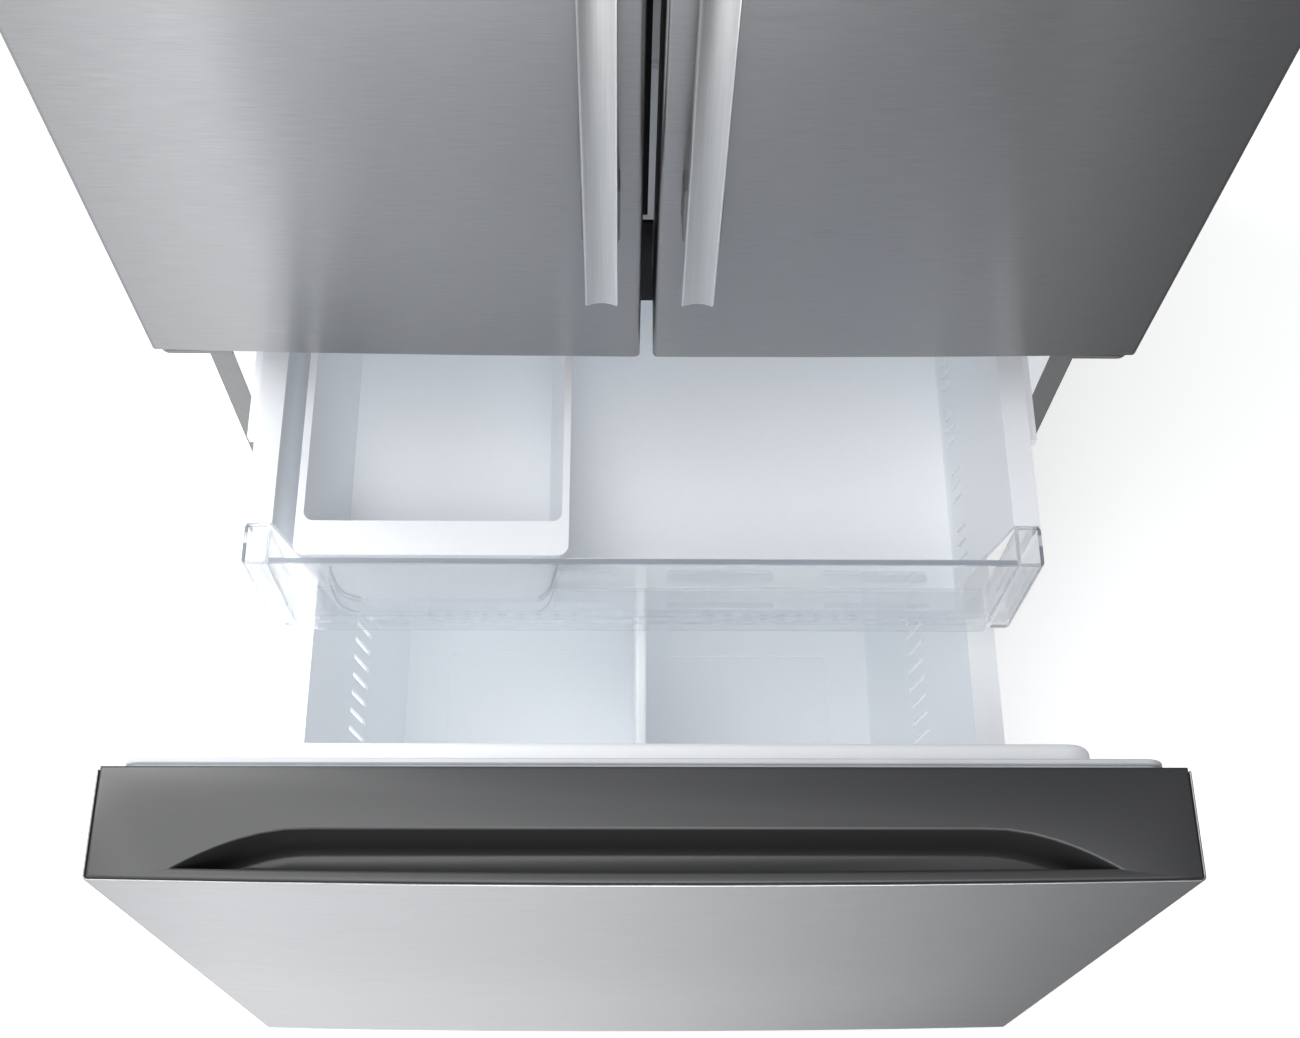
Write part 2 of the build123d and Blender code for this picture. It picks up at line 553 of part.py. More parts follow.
for side, word in ((-1, "left"), (1, "right")):
    door_x = sided(side, DOOR_GAP, HALF)
    tall = DOOR_TOP - DOOR_BOTTOM
    plate = DOOR_BACK - LINER_PLATE
    caps = ((DOOR_BOTTOM, DOOR_BOTTOM + CAP), (DOOR_TOP - CAP, DOOR_TOP))

    with BuildPart() as door_skin:
        extrude(bowed_outline(door_x, DOOR_BOTTOM, 0, plate, 4), amount=tall)
        hollow = bowed_outline(door_x, DOOR_BOTTOM, SKIN, plate, 2.5)
        extrude(hollow, amount=tall, mode=Mode.SUBTRACT)
    save(door_skin, f"{word}_door_skin")

    with BuildPart() as door_foam:
        core = bowed_outline(door_x, DOOR_BOTTOM + CAP, SKIN, plate, 2.5)
        extrude(core, amount=tall - 2 * CAP)
    save(door_foam, f"{word}_door_foam")

    with BuildPart() as door_caps:
        for low, high in caps:
            extrude(bowed_outline(door_x, low, SKIN, plate, 2.5), amount=CAP)
        door_bore(side, (DOOR_BOTTOM, DOOR_BOTTOM + 15))
        door_bore(side, (DOOR_TOP - 15, DOOR_TOP))
    save(door_caps, f"{word}_door_caps")

    with BuildPart() as door_liner:
        block(door_x, span(plate, DOOR_BACK), (DOOR_BOTTOM, DOOR_TOP))
        panel_x = sided(side, FREE_EDGE, HINGE_EDGE)
        tunnel(panel_x, span(DOOR_BACK, 92), (768, 1682), 12)
        for rib_x in (sided(side, FREE_EDGE, FREE_EDGE + 22), sided(side, HINGE_EDGE - 22, HINGE_EDGE)):
            tunnel(rib_x, span(90, POST_BACK), (780, 1670), 8)
        if side < 0:
            for low in (758, 1682):
                lug = (FLAP_AXIS_X - 6, FLAP_AXIS_X + 6)
                block(lug, span(DOOR_BACK, FLAP_AXIS_DEPTH + 6), (low, low + 5))
                pin = [(FLAP_AXIS_X, deep(FLAP_AXIS_DEPTH), low + e) for e in (0, 5)]
                rod(pin[0], pin[1], 3 + RUNNING, Mode.SUBTRACT)
    save(door_liner, f"{word}_door_liner")

    with BuildPart() as door_gasket:
        seal_x = sided(side, DOOR_GAP + SEAL_INSET, HALF - HINGE_SIDE_INSET)
        gasket(seal_x, (DOOR_BOTTOM + SEAL_INSET, DOOR_TOP - SEAL_INSET))
    save(door_gasket, f"{word}_door_gasket")

    with BuildPart() as door_handle:
        handle(side)
    save(door_handle, f"{word}_handle")

    with BuildPart() as door_bins:
        bin_x = sided(side, FREE_EDGE + 23, HINGE_EDGE - 23)
        for level, high in zip(BIN_LEVELS, BIN_TALL):
            bin_y, bin_z = span(93, BIN_BACK), (level, level + high)
            foot = (bin_x[0] + 5, bin_x[1] - 5), (bin_y[0], bin_y[1] - 8)
            tapered((bin_x, bin_y), foot, bin_z, 8)
        for level, high in zip(BIN_LEVELS, BIN_TALL):
            hollow_x = (bin_x[0] + BIN_WALL, bin_x[1] - BIN_WALL)
            hollow_y = span(93 + BIN_WALL, BIN_BACK - BIN_WALL)
            foot = (hollow_x[0] + 5, hollow_x[1] - 5), (hollow_y[0], hollow_y[1] - 8)
            hollow_z = (level + BIN_WALL, level + high + 0.01)
            tapered((hollow_x, hollow_y), foot, hollow_z, 6, Mode.SUBTRACT)
    save(door_bins, f"{word}_door_bins")

with BuildPart() as centre_flap:  # upright strip that closes the gap behind the two doors
    flap_z = (765, 1680)
    block((-46, 0.5), span(90.3, 107), flap_z)
    tip = centre_flap.edges().filter_by(Axis.Z).group_by(Axis.X)[-1].sort_by(Axis.Y)[-1]
    chamfer(tip, 5)
    for low, high in ((758.5, 765), (1680, 1686.5)):
        ends = [(FLAP_AXIS_X, deep(FLAP_AXIS_DEPTH), z) for z in (low, high)]
        rod(ends[0], ends[1], 3)
save(centre_flap, "centre_flap")

# ================================================================ freezer drawer
OPEN = DRAWER_OPEN
FRONT_X = (-HALF, HALF)
CAP_LOW = 655.0  # underside of the moulded top cap
FOOT_CAP = 14.0
POCKET_DEEP, POCKET_REAR, POCKET_LIP = 40.0, 35.0, 10.0
POCKET_STRAIGHT, POCKET_TIP, POCKET_ARC = 232.0, 314.0, 151.0
PLATEAU_BACK = 117.0

with BuildPart() as freezer_skin:
    high = DRAWER_TOP - DRAWER_BOTTOM
    extrude(bowed_outline(FRONT_X, DRAWER_BOTTOM, 0, plate, 4, OPEN), amount=high)
    hollow = bowed_outline(FRONT_X, DRAWER_BOTTOM, SKIN, plate, 2.5, OPEN)
    extrude(hollow, amount=high, mode=Mode.SUBTRACT)
save(freezer_skin, "freezer_front_skin")


def arc_drop(run):
    """How far the pocket's rear edge has come forward at a run past its straight part."""
    return POCKET_ARC - math.sqrt(POCKET_ARC**2 - run**2)


with BuildPart() as handle_cap:  # top cap with the scooped grip
    extrude(bowed_outline(FRONT_X, CAP_LOW, SKIN, DOOR_BACK, 2.5, OPEN), amount=DRAWER_TOP - CAP_LOW)
    fillet(handle_cap.faces().sort_by(Axis.Z)[-1].edges().sort_by(Axis.Y)[-1], 3)
    run = POCKET_TIP - POCKET_STRAIGHT
    rear = deep(POCKET_REAR, OPEN)
    lip_end = deep(POCKET_LIP, OPEN) - BOW * (1 - (POCKET_TIP / HALF) ** 2)
    with BuildSketch(Plane.XY.offset(DRAWER_TOP)) as mouth:
        with BuildLine():
            tip_y = rear - arc_drop(run)
            mid_y = rear - arc_drop(run / 2)
            right = ThreePointArc(
                (POCKET_STRAIGHT, rear), (POCKET_STRAIGHT + run / 2, mid_y), (POCKET_TIP, tip_y)
            )
            left = ThreePointArc(
                (-POCKET_TIP, tip_y), (-POCKET_STRAIGHT - run / 2, mid_y), (-POCKET_STRAIGHT, rear)
            )
            Line(left @ 1, right @ 0)
            Line(right @ 1, (POCKET_TIP, lip_end))
            lip_middle = deep(POCKET_LIP, OPEN) - BOW
            ThreePointArc((POCKET_TIP, lip_end), (0, lip_middle), (-POCKET_TIP, lip_end))
            Line((-POCKET_TIP, lip_end), left @ 0)
        make_face()
    extrude(mouth.sketch, amount=-POCKET_DEEP, taper=8, mode=Mode.SUBTRACT)
    undercut_y = span(POCKET_LIP - 5, 14, OPEN)
    undercut_z = (DRAWER_TOP - POCKET_DEEP, DRAWER_TOP - 12)
    tunnel((-235, 235), undercut_y, undercut_z, 4, Mode.SUBTRACT)
save(handle_cap, "freezer_handle_cap")

with BuildPart() as freezer_foot_cap:
    extrude(bowed_outline(FRONT_X, DRAWER_BOTTOM, SKIN, plate, 2.5, OPEN), amount=FOOT_CAP)
save(freezer_foot_cap, "freezer_foot_cap")

with BuildPart() as freezer_front_foam:
    low = DRAWER_BOTTOM + FOOT_CAP
    extrude(bowed_outline(FRONT_X, low, SKIN, plate, 2.5, OPEN), amount=CAP_LOW - low)
save(freezer_front_foam, "freezer_front_foam")

with BuildPart() as freezer_front_liner:
    block(FRONT_X, span(plate, DOOR_BACK, OPEN), (DRAWER_BOTTOM, CAP_LOW))
    tunnel((-331, 331), span(DOOR_BACK, PLATEAU_BACK, OPEN), (100, 641), 20)
    fillet(freezer_front_liner.faces().sort_by(Axis.Y)[-1].edges(), 6)
save(freezer_front_liner, "freezer_front_liner")

with BuildPart() as freezer_gasket:
    seal_x = (-HALF + SEAL_INSET, HALF - SEAL_INSET)
    gasket(seal_x, (DRAWER_BOTTOM + SEAL_INSET, DRAWER_TOP - SEAL_INSET), OPEN)
save(freezer_gasket, "freezer_gasket")

# ---------------------------------------------------------------- telescopic slides
SLIDE_Z = (295.0, 341.0)
SLIDE_FRONT, SLIDE_BACK = 121.0, 558.0


def channel(side, x, y, z, wall, web_outside=True):
    """A C section along Y, its web on the outer or the inner side."""
    block(sided(side, *x), y, z)
    hollow = (x[0], x[1] - wall) if web_outside else (x[0] + wall, x[1])
    block(sided(side, *hollow), y, (z[0] + wall, z[1] - wall), Mode.SUBTRACT)


with BuildPart() as slide_outers:
    for side in (-1, 1):
        channel(side, (326, 332), span(SLIDE_FRONT - 2, SLIDE_BACK), SLIDE_Z, 1.5)
        for depth in (130, 500):
            block(sided(side, 332, INNER), span(depth, depth + 30), (306, 330))
save(slide_outers, "slide_outers")

with BuildPart() as slide_middles:
    moved = OPEN * SLIDE_SHARE
    for side in (-1, 1):
        mid_z = (SLIDE_Z[0] + 3, SLIDE_Z[1] - 3)
        channel(side, (322.5, 329.5), span(SLIDE_FRONT, SLIDE_BACK - 4, moved), mid_z, 1.5)
save(slide_middles, "slide_middles")

SIDE_RAIL_TOP = 405.0
with BuildPart() as drawer_rails:  # inner slide members and the frames that carry the basket
    for side in (-1, 1):
        in_z = (SLIDE_Z[0] + 6, SLIDE_Z[1] - 6)
        channel(side, (320, 327), span(PLATEAU_BACK, SLIDE_BACK - 6, OPEN), in_z, 1.5, web_outside=False)
        block(sided(side, 318, 320), span(PLATEAU_BACK, 548, OPEN), (SLIDE_Z[0], SIDE_RAIL_TOP))
        foot = span(PLATEAU_BACK, PLATEAU_BACK + 2, OPEN)
        block(sided(side, 296, 318), foot, (SLIDE_Z[0], SIDE_RAIL_TOP))
save(drawer_rails, "drawer_rails")

# ---------------------------------------------------------------- lower basket and divider
BASKET_FLOOR, BASKET_RIM = 120.0, 409.0
BASKET_WALL = 3.0
basket_top = ((-295, 295), span(128, 536, OPEN))
basket_foot = ((-246, 246), span(148, 512, OPEN))


def grown(rectangle, by):
    (x, y) = rectangle
    return (x[0] - by, x[1] + by), (y[0] - by, y[1] + by)


with BuildPart() as lower_basket:
    outer_top, outer_foot = grown(basket_top, BASKET_WALL), grown(basket_foot, BASKET_WALL)
    tapered(outer_top, outer_foot, (BASKET_FLOOR - BASKET_WALL, BASKET_RIM), 26)
    block((-320, 320), span(118, 548, OPEN), (SIDE_RAIL_TOP, BASKET_RIM))
    fillet(lower_basket.edges().filter_by(Axis.Z).group_by(Axis.X)[0], 12)
    fillet(lower_basket.edges().filter_by(Axis.Z).group_by(Axis.X)[-1], 12)
    tapered(basket_top, basket_foot, (BASKET_FLOOR, BASKET_RIM + 0.01), 23, Mode.SUBTRACT)
    for side in (-1, 1):
        with Locations((side * 272, deep(330, OPEN), 272)):
            with GridLocations(1, 18, 1, 19):
                Box(60, 4.5, 45, mode=Mode.SUBTRACT)
        with Locations((side * 115, deep(279, OPEN), BASKET_FLOOR)):
            Box(174, 198, 2.4, mode=Mode.SUBTRACT)
save(lower_basket, "lower_basket")

with BuildPart() as basket_divider:
    gap = 2.0
    with BuildSketch(Plane.YZ.offset(-5)) as profile:
        with BuildLine():
            low, high = BASKET_FLOOR + gap, BASKET_RIM - 10
            front_low, back_low = deep(148 + gap, OPEN), deep(512 - gap, OPEN)
            front_high, back_high = deep(130 + gap, OPEN), deep(534 - gap, OPEN)
            Polyline(
                (front_low, low), (back_low, low), (back_high, high), (front_high, high), close=True
            )
        make_face()
    extrude(profile.sketch, amount=10)
    fillet(basket_divider.edges().filter_by(Axis.Y).group_by(Axis.Z)[-1], 3)
save(basket_divider, "basket_divider")

# ---------------------------------------------------------------- tray, its clear front and the ice bin
PULLED = TRAY_OPEN
TRAY_TOP, TRAY_FLOOR, TRAY_BACK = 601.0, 470.0, 573.0
RAIL_OUT, RAIL_IN, FLOOR_X = 320.0, 298.5, 274.0
PANE_FRONT, PANE, PANE_LOW = 121.5, 6.0, 457.0
POST_IN, POST_WALL = RAIL_IN, 3.0
STRIP_LOW, STRIP, STRIP_BACK = 467.0, 4.0, 157.0
DASH_COLUMNS, DASH_PITCH = 241.4, 15.5
BODY_FRONT = 157.5

with BuildPart() as upper_tray:
    wall = 3.0
    for x_top, x_foot, z_low, mode in (
        (RAIL_IN + wall, FLOOR_X + wall, TRAY_FLOOR - wall, Mode.ADD),
        (RAIL_IN, FLOOR_X, TRAY_FLOOR, Mode.SUBTRACT),
    ):
        inset = 0 if mode == Mode.ADD else wall
        with BuildSketch(Plane.XZ.offset(-deep(TRAY_BACK - inset, PULLED))) as section:
            with BuildLine():
                Polyline(
                    (-x_foot, z_low), (x_foot, z_low), (x_top, TRAY_TOP), (-x_top, TRAY_TOP), close=True
                )
            make_face()
        extrude(section.sketch, amount=TRAY_BACK - inset - BODY_FRONT, mode=mode)
    for side in (-1, 1):
        rail_y = span(BODY_FRONT, TRAY_BACK, PULLED)
        block(sided(side, RAIL_IN, RAIL_OUT), rail_y, (TRAY_TOP - wall, TRAY_TOP))
        block(sided(side, RAIL_OUT - 2.5, RAIL_OUT), rail_y, (TRAY_TOP - 18, TRAY_TOP))
        runner_y = span(250, TRAY_BACK, PULLED)
        block(sided(side, 294, INNER - 3), runner_y, (GUIDE_Z + 3, GUIDE_Z + 13))
        for group in range(7):
            with Locations((side * 280, deep(190 + group * 57, PULLED), 493)):
                with GridLocations(1, 13, 1, 3):
                    Box(40, 3.6, 22, mode=Mode.SUBTRACT)
    with Locations((0, deep(168, PULLED), TRAY_FLOOR)):
        with GridLocations(136, 1, 4, 1):
            Box(82, 12, 12, mode=Mode.SUBTRACT)
            for end in (-41, 41):
                with Locations((end, 0)):
                    Cylinder(6, 12, mode=Mode.SUBTRACT)
save(upper_tray, "upper_tray")

with BuildPart() as tray_front:  # clear moulding: pane, floor strip and a hollow post at each end
    block((-RAIL_OUT, RAIL_OUT), span(PANE_FRONT, PANE_FRONT + PANE, PULLED), (PANE_LOW, TRAY_TOP))
    strip_y = span(PANE_FRONT + PANE, STRIP_BACK, PULLED)
    block((-RAIL_OUT, RAIL_OUT), strip_y, (STRIP_LOW, STRIP_LOW + STRIP))
    for side in (-1, 1):
        wall_z = (STRIP_LOW, TRAY_TOP)
        block(sided(side, RAIL_OUT - POST_WALL, RAIL_OUT), strip_y, wall_z)
        block(sided(side, POST_IN, POST_IN + POST_WALL), strip_y, wall_z)
        block(sided(side, POST_IN, RAIL_OUT), span(STRIP_BACK - POST_WALL, STRIP_BACK, PULLED), wall_z)
    with Locations((0, deep(132.5, PULLED), STRIP_LOW)):
        with GridLocations(DASH_COLUMNS, 1, 2, 1):
            with GridLocations(DASH_PITCH, 1, 9, 1):
                Box(7, 3, 12, mode=Mode.SUBTRACT)
save(tray_front, "tray_front")

with BuildPart() as ice_bin:
    bin_top = ((-277.5, -63.5), span(137, 478, PULLED))
    bin_foot = ((-262, -79), span(145, 455, PULLED))
    tapered(bin_top, bin_foot, (472, 594), 10)
    with BuildSketch(Plane.XY.offset(592)) as lip:
        with Locations((-171, deep(308, PULLED))):
            RectangleRounded(220.5, 352, 9)
    extrude(lip.sketch, amount=4)
    hollow_top = ((-275, -66.5), span(162, 474, PULLED))
    hollow_foot = ((-258.5, -82.5), span(171, 451, PULLED))
    tapered(hollow_top, hollow_foot, (475, 596.01), 8, Mode.SUBTRACT)
save(ice_bin, "ice_bin")
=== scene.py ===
"""Looks of the french door refrigerator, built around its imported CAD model, in metres."""

import json
import math

import bmesh
import bpy
from mathutils import Matrix, Vector


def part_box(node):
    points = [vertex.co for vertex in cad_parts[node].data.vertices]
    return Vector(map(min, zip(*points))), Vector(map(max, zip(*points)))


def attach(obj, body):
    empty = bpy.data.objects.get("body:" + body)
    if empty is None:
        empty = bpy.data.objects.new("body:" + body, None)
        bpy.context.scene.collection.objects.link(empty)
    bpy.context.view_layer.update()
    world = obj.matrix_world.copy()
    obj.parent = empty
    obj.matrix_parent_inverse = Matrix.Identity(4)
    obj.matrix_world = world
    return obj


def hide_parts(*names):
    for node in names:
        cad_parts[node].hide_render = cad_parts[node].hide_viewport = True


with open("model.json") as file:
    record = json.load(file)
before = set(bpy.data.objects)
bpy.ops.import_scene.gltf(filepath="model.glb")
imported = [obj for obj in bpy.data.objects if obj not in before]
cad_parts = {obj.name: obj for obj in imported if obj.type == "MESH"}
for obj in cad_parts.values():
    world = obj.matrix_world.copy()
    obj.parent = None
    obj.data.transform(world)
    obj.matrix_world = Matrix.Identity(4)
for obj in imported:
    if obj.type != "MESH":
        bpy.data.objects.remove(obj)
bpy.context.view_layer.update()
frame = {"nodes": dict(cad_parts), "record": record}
nodes = frame["nodes"]
MM = 0.001
BOW = 4 * MM  # how far the doors' and the drawer's faces bulge at the middle


# ---------------------------------------------------------------- materials
class Finish:
    """A procedural material: a Principled shader with noise in its colour, roughness and bump."""

    def __init__(self, name, colour, rough, metallic=0.0, **sockets):
        self.material = bpy.data.materials.new(name)
        self.material.use_nodes = True
        self.tree = self.material.node_tree
        self.shader = self.tree.nodes["Principled BSDF"]
        self.colour, self.rough = colour, rough
        self.set("Base Color", (*colour, 1))
        self.set("Roughness", rough)
        self.set("Metallic", metallic)
        for socket, value in sockets.items():
            self.set(socket.replace("_", " "), value)
        self.normal = None

    def set(self, socket, value):
        self.shader.inputs[socket].default_value = value

    def node(self, kind, **inputs):
        made = self.tree.nodes.new(kind)
        for name, value in inputs.items():
            made.inputs[name].default_value = value
        return made

    def link(self, a, b):
        self.tree.links.new(a, b)

    def noise(self, scale, detail=3.0):
        """Noise whose grain is 1 / scale metres along each axis."""
        place = self.tree.nodes.new("ShaderNodeTexCoord")
        stretch = self.node("ShaderNodeMapping", Scale=scale)
        pattern = self.node("ShaderNodeTexNoise", Scale=1.0, Detail=detail, Roughness=0.55)
        self.link(place.outputs["Object"], stretch.inputs["Vector"])
        self.link(stretch.outputs["Vector"], pattern.inputs["Vector"])
        return pattern.outputs["Fac"]

    def mottle(self, scale, spread, detail=3.0):
        """Lets the colour wander by a share of itself."""
        ramp = self.tree.nodes.new("ShaderNodeValToRGB")
        ends = ramp.color_ramp.elements
        ends[0].position, ends[1].position = 0.3, 0.7
        ends[0].color = (*[c * (1 - spread) for c in self.colour], 1)
        ends[1].color = (*[min(1, c * (1 + spread)) for c in self.colour], 1)
        self.link(self.noise(scale, detail), ramp.inputs["Fac"])
        self.link(ramp.outputs["Color"], self.shader.inputs["Base Color"])
        return self

    def scuff(self, scale, low, high, detail=2.0):
        """Lets the roughness wander between two values."""
        spread = self.node("ShaderNodeMapRange")
        spread.inputs["From Min"].default_value = 0.3
        spread.inputs["From Max"].default_value = 0.7
        spread.inputs["To Min"].default_value = low
        spread.inputs["To Max"].default_value = high
        self.link(self.noise(scale, detail), spread.inputs["Value"])
        self.link(spread.outputs["Result"], self.shader.inputs["Roughness"])
        return self

    def grain(self, scale, strength, height, detail=3.0):
        """Adds a bump; several bumps add up."""
        bump = self.node("ShaderNodeBump", Strength=strength, Distance=height)
        self.link(self.noise(scale, detail), bump.inputs["Height"])
        if self.normal:
            self.link(self.normal, bump.inputs["Normal"])
        self.normal = bump.outputs["Normal"]
        self.link(self.normal, self.shader.inputs["Normal"])
        return self

    def brushed(self, turn=0.25):
        """Stretches the highlights across the brushing."""
        around = self.tree.nodes.new("ShaderNodeTangent")
        around.direction_type, around.axis = "RADIAL", "Z"
        self.link(around.outputs["Tangent"], self.shader.inputs["Tangent"])
        self.set("Anisotropic", 0.8)
        self.set("Anisotropic Rotation", turn)
        return self


def plain(scale):
    return (scale, scale, scale)


def make_finishes():
    """One finish for each of the record's slots, and a few for the pieces made here."""
    made = {}

    def finish(name, *args, **sockets):
        made[name] = Finish(name, *args, **sockets)
        return made[name]

    steel = finish("stainless", (0.36, 0.36, 0.368), 0.32, 1.0)
    steel.brushed().mottle((38, 38, 2300), 0.085, 3).scuff((20, 20, 900), 0.29, 0.36, 2)
    steel.grain((45, 45, 2600), 0.06, 0.00004, 2)
    satin = finish("handle_steel", (0.70, 0.70, 0.70), 0.42, 1.0)
    satin.mottle((900, 900, 9), 0.05).scuff((500, 500, 6), 0.36, 0.48)
    satin.grain((1800, 1800, 14), 0.1, 0.00004)
    # painted shade: the handle's feet are its steel painted darker, for the shade that falls on
    # them
    foot = finish("handle_foot_shade", (0.26, 0.26, 0.265), 0.5, 0.8)
    foot.mottle(plain(500), 0.05).grain(plain(1200), 0.1, 0.00004)
    rim = finish("handle_rim", (0.93, 0.93, 0.93), 0.3, 1.0)
    rim.mottle(plain(60), 0.03).grain(plain(300), 0.05, 0.00002)

    cap = finish("cap_grey", (0.038, 0.0385, 0.040), 0.36)
    cap.mottle(plain(900), 0.05).scuff(plain(700), 0.34, 0.39).grain(plain(2600), 0.12, 0.00005)
    case = finish("case_paint", (0.24, 0.242, 0.245), 0.42, 0.8)
    case.mottle(plain(700), 0.05).scuff(plain(400), 0.38, 0.46).grain(plain(900), 0.10, 0.00006)
    black = finish("black_plastic", (0.012, 0.012, 0.014), 0.6, Specular_IOR_Level=0.12)
    black.mottle(plain(12), 0.2).grain(plain(1500), 0.15, 0.00006)
    zinc = finish("zinc_steel", (0.42, 0.43, 0.44), 0.45, 0.85)
    zinc.mottle(plain(45), 0.14, 6).scuff(plain(60), 0.35, 0.6).grain(plain(250), 0.06, 0.00006)
    slide = finish("slide_steel", (0.74, 0.76, 0.78), 0.3, Coat_Weight=0.2)
    slide.mottle(plain(10), 0.03).grain(plain(700), 0.06, 0.00004)

    # painted light: a faint glow brightens the white plastics, standing in for the light they let
    # through
    painted_glow = {"Emission_Strength": 0.09, "Emission_Color": (0.9, 0.94, 1, 1)}
    white = finish("liner_white", (0.87, 0.885, 0.905), 0.34, **painted_glow)
    white.mottle(plain(350), 0.012).scuff(plain(300), 0.31, 0.37).grain(plain(500), 0.04, 0.00004)
    tray = finish("tray_white", (0.84, 0.865, 0.895), 0.32, Emission_Strength=0.05,
                  Emission_Color=painted_glow["Emission_Color"])
    tray.mottle(plain(350), 0.012).scuff(plain(300), 0.29, 0.36).grain(plain(600), 0.03, 0.00004)
    basket = finish("basket_white", (0.88, 0.905, 0.93), 0.34, **painted_glow)
    basket.mottle(plain(350), 0.012).scuff(plain(300), 0.31, 0.38).grain(plain(600), 0.03, 0.00004)
    lamp = finish("lamp_cover", (0.9, 0.9, 0.88), 0.5)
    lamp.mottle(plain(40), 0.02).grain(plain(900), 0.2, 0.0001)
    seal = finish("seal", (0.60, 0.62, 0.65), 0.55)
    seal.mottle(plain(20), 0.04).scuff(plain(40), 0.5, 0.62).grain(plain(1200), 0.1, 0.00005)

    clear = finish("clear_plastic", (0.975, 0.98, 0.995), 0.02, Transmission_Weight=1.0, IOR=1.3,
                   Alpha=0.45)
    clear.mottle(plain(60), 0.004).grain(plain(25), 0.004, 0.000008)
    post = finish("clear_post", (0.90, 0.92, 0.945), 0.05, Transmission_Weight=1.0, IOR=1.3,
                  Alpha=0.7)
    post.mottle(plain(60), 0.004).grain(plain(60), 0.01, 0.00002)
    # painted shade: dark grey on the pane's top face, for the shade seen through its clear edge
    pane_shade = finish("pane_top_shade", (0.30, 0.33, 0.375), 0.35, Transmission_Weight=0.25, IOR=1.4)
    pane_shade.mottle((40, 900, 900), 0.04).grain((60, 1200, 1200), 0.08, 0.00004)
    glass = finish("shelf_glass", (0.84, 0.94, 0.92), 0.02, Transmission_Weight=1.0, IOR=1.52)
    glass.mottle(plain(5), 0.01).grain(plain(20), 0.02, 0.0001)

    # painted shade: dark grey for the bin's shadow lines, the posts' outer edges and the slots
    dark = finish("painted_shade_edge", (0.20, 0.22, 0.25), 0.3, Transmission_Weight=0.2, IOR=1.4)
    dark.mottle(plain(500), 0.06).grain(plain(900), 0.06, 0.00003)

    foam = finish("foam", (0.80, 0.72, 0.48), 0.9)
    foam.mottle(plain(90), 0.1, 6).grain(plain(700), 0.6, 0.0004)
    enamel = finish("black_steel", (0.018, 0.018, 0.02), 0.25, Coat_Weight=0.6)
    enamel.mottle(plain(8), 0.15).grain(plain(160), 0.08, 0.0001)
    coil = finish("coil", (0.62, 0.63, 0.65), 0.35, 1.0)
    coil.mottle(plain(120), 0.12).scuff(plain(80), 0.28, 0.5).grain(plain(900), 0.1, 0.00005)
    brass = finish("brass", (0.72, 0.52, 0.24), 0.28, 1.0)
    brass.mottle(plain(90), 0.08).grain((40, 2000, 40), 0.1, 0.00004)
    oxide = finish("foot_steel", (0.05, 0.05, 0.055), 0.45, 0.7)
    oxide.mottle(plain(120), 0.15).grain(plain(900), 0.1, 0.00005)
    return made


finishes = make_finishes()


def dress(piece, finish):
    """Gives a piece one finish."""
    piece.data.materials.clear()
    piece.data.materials.append(finishes[finish].material)


def soften(piece, width, segments=2, angle=40):
    """Rounds a piece's sharp edges."""
    weld = piece.modifiers.new("weld", "WELD")
    weld.merge_threshold = 0.00002
    bevel = piece.modifiers.new("edges", "BEVEL")
    bevel.width, bevel.segments = width, segments
    bevel.limit_method, bevel.angle_limit = "ANGLE", math.radians(angle)
    bevel.use_clamp_overlap = True
    return piece


# ---------------------------------------------------------------- mesh helpers
def piece_from(bm, name, finish_names, body, replaces=(), smooth_angle=35):
    """Turns a bmesh into a finished piece that rides on a body."""
    bmesh.ops.recalc_face_normals(bm, faces=bm.faces)
    mesh = bpy.data.meshes.new(name)
    bm.to_mesh(mesh)
    bm.free()
    piece = bpy.data.objects.new(name, mesh)
    bpy.context.scene.collection.objects.link(piece)
    for finish in finish_names:
        mesh.materials.append(finishes[finish].material)
    mesh.shade_smooth()
    mesh.set_sharp_from_angle(angle=math.radians(smooth_angle))
    if body:
        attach(piece, body)
    if replaces:
        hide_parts(*replaces)
    return piece


def bridge(bm, loops, closed=True, wrap=False, material=None):
    """Skins quads between successive loops of points; returns the loops' vertices."""
    rows = [[bm.verts.new(p) for p in loop] for loop in loops]
    pairs = list(zip(rows, rows[1:]))
    if wrap:
        pairs.append((rows[-1], rows[0]))
    for r, (a, b) in enumerate(pairs):
        count = len(a) if closed else len(a) - 1
        for i in range(count):
            j = (i + 1) % len(a)
            face = bm.faces.new((a[i], a[j], b[j], b[i]))
            if material:
                face.material_index = material(r, i)
    return rows


def rounded_rectangle(x, z, radius, steps=5):
    """Points round a rectangle in (x, z), with round corners."""
    points = []
    corners = (
        (x[1] - radius, z[1] - radius, 0),
        (x[0] + radius, z[1] - radius, 90),
        (x[0] + radius, z[0] + radius, 180),
        (x[1] - radius, z[0] + radius, 270),
    )
    for cx, cz, start in corners:
        for i in range(steps + 1):
            angle = math.radians(start + 90 * i / steps)
            points.append((cx + radius * math.cos(angle), cz + radius * math.sin(angle)))
    return points


# ---------------------------------------------------------------- door and drawer seals
SEAL_PROFILE = (  # distance in from the outer edge and height over the door's back, in mm
    (0.6, 0.0), (0.0, 0.6), (0.0, 1.7), (0.6, 2.3), (2.7, 2.6), (3.2, 3.6), (2.7, 4.7),
    (0.7, 5.1), (0.0, 5.9), (0.0, 8.4), (0.9, 9.3), (6.0, 9.5), (11.1, 9.3), (12.0, 8.4),
    (12.0, 5.9), (11.3, 5.1), (9.3, 4.7), (8.8, 3.6), (9.3, 2.6), (11.4, 2.3), (12.0, 1.7),
    (12.0, 0.6), (11.4, 0.0),
)


